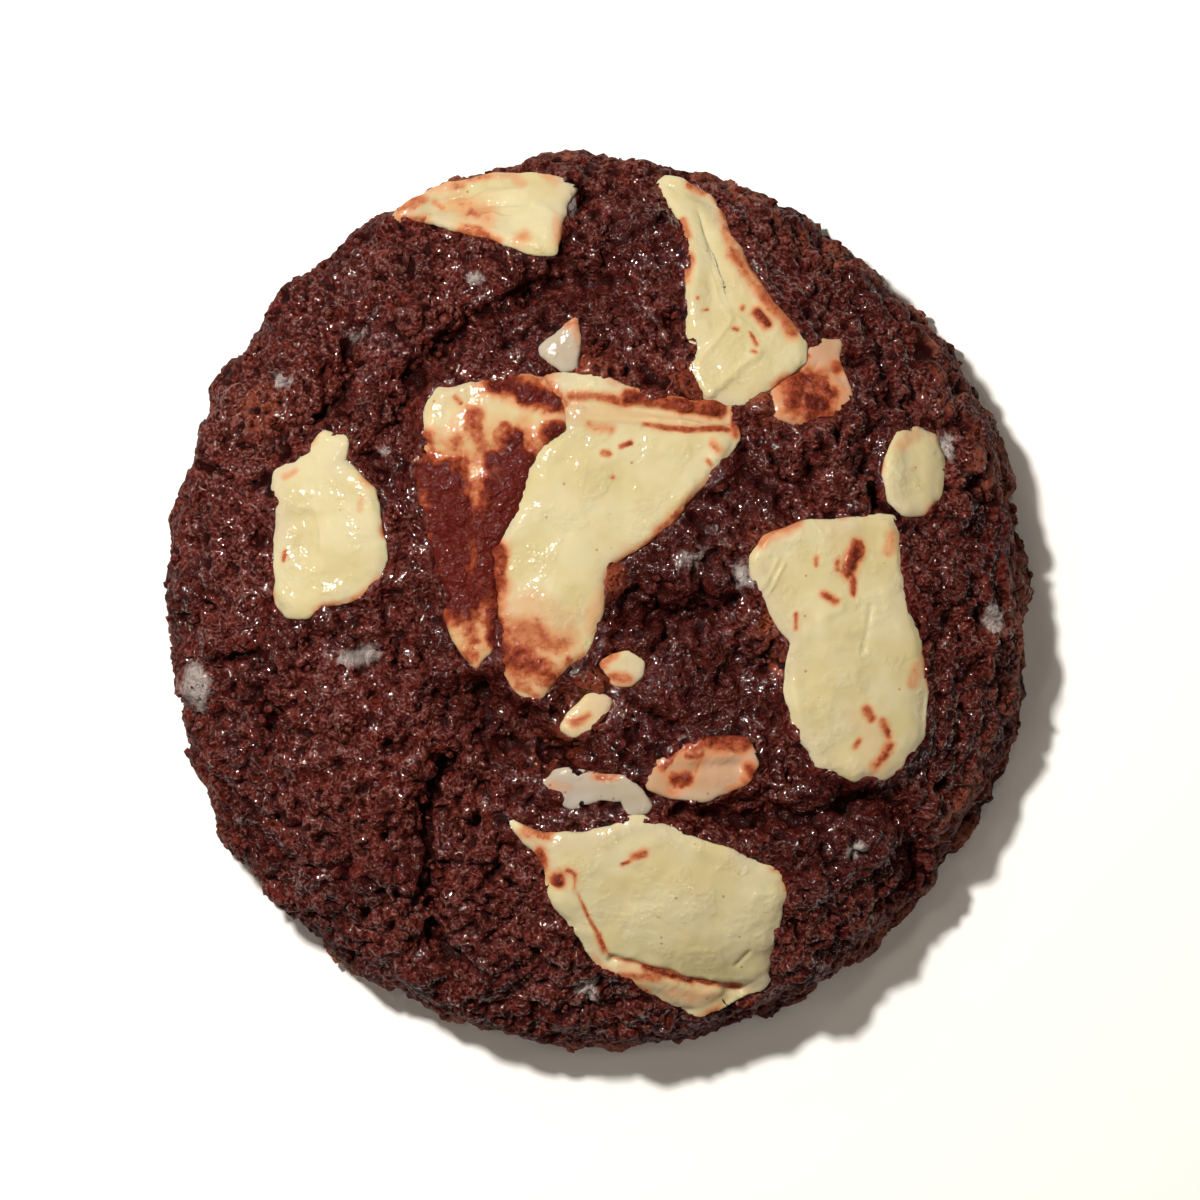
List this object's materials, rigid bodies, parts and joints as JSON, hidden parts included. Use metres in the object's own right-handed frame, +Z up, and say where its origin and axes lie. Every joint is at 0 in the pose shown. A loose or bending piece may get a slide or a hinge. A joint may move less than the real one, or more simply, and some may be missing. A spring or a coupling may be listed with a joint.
{
  "type": "red velvet cookie",
  "caption": "Thick round red velvet cookie with a craggy domed top and broken white chocolate pieces baked into it.",
  "frame": {"origin": "middle of the flat base, at the centre of the bounding box's bottom face", "axes": "+Z up through the top; +Y towards the edge where two pieces of chocolate reach the rim; +X to the right of it seen from above"},
  "size_m": [0.0857, 0.0887, 0.0221],
  "materials": {
    "dough": "craggy baked crumb, dark brown-red, glossier and darker where fat has soaked in",
    "chocolate": "waxy, softly glossy cream, stained by the dough"
  },
  "bodies": {
    "root": {"cookie": "dough", "chunk_front": "chocolate", "chunk_right": "chocolate", "chunk_long": "chocolate", "chunk_centre": "chocolate", "chunk_centre_left": "chocolate", "chunk_back": "chocolate", "chunk_left": "chocolate", "chunk_right_small": "chocolate", "chunk_pink_front": "chocolate", "chunk_pink_back": "chocolate", "chunk_sliver": "chocolate", "bit_middle": "chocolate", "bit_low": "chocolate", "melted_ribbon": "chocolate"}
  },
  "joints": []
}
